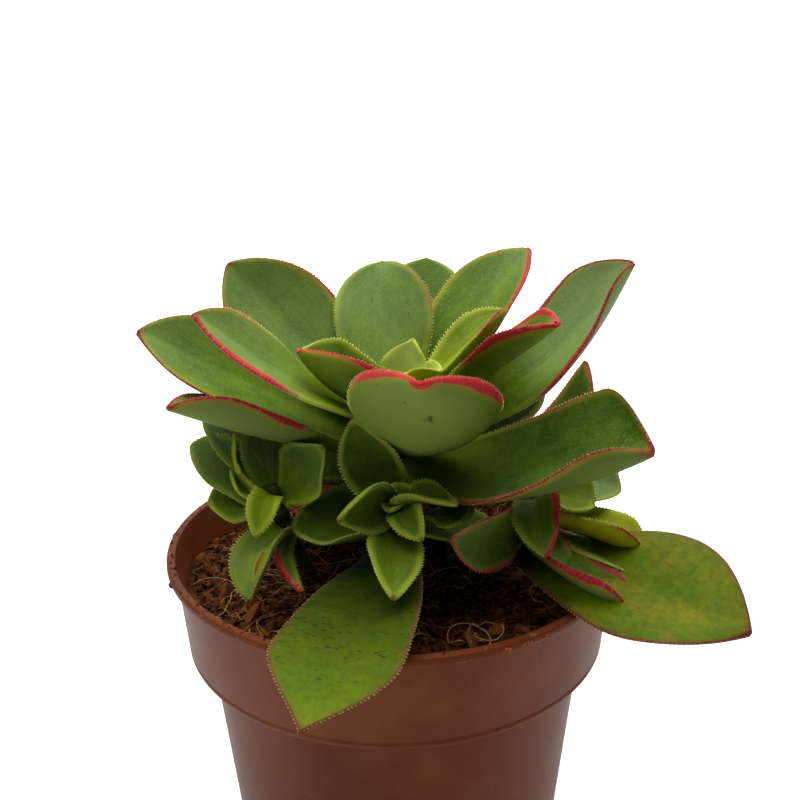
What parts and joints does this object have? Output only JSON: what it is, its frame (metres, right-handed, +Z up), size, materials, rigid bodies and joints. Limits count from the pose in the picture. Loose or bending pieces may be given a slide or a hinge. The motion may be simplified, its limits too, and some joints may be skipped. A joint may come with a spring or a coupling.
{
  "type": "potted aeonium",
  "caption": "Potted aeonium: an open rosette of broad fleshy toothed leaves on a leafy stem, small offset rosettes round its foot, in a plain round nursery pot of soil.",
  "frame": {"origin": "middle of the pot's flat base, on the surface it stands on", "axes": "+Z up along the pot's axis, -Y towards the side the picture shows, +X to the right of that side"},
  "size_m": [0.1232, 0.133, 0.1545],
  "materials": {
    "pot": "satin moulded plastic, warm brown",
    "soil": "crumbly coir and bark soil, dull",
    "stem": "dull green-brown skin ringed with leaf scars",
    "leaf": "satin fleshy leaf, grey-green to green, red or yellow-green toothed margin",
    "young_leaf": "satin young leaf, yellow-green",
    "old_leaf": "satin old leaf, green to olive, dark specks",
    "offset": "satin small leaves, green with pale toothed margin"
  },
  "bodies": {
    "root": {"pot": "pot", "soil": "soil", "main_stem": "stem", "bud": "young_leaf", "leaf_inner_left": "leaf", "leaf_inner_right": "leaf", "leaf_back_centre": "leaf", "leaf_near_right": "leaf", "leaf_back_right": "leaf", "leaf_left_mid": "leaf", "leaf_back_left": "leaf", "leaf_back_tall": "leaf", "leaf_front": "leaf", "leaf_right_back": "leaf", "leaf_left_outer": "leaf", "leaf_back_mid_left": "leaf", "leaf_back_mid_right": "leaf", "leaf_left_low": "leaf", "leaf_right_low": "leaf", "leaf_right_behind": "leaf", "leaf_back_low_left": "leaf", "leaf_back_low_right": "leaf", "leaf_back_low_mid": "leaf", "leaf_hanging_front": "old_leaf", "leaf_hanging_right": "old_leaf", "offset_front": "offset", "offset_left": "offset", "offset_right": "offset", "offset_back": "offset"}
  },
  "joints": []
}
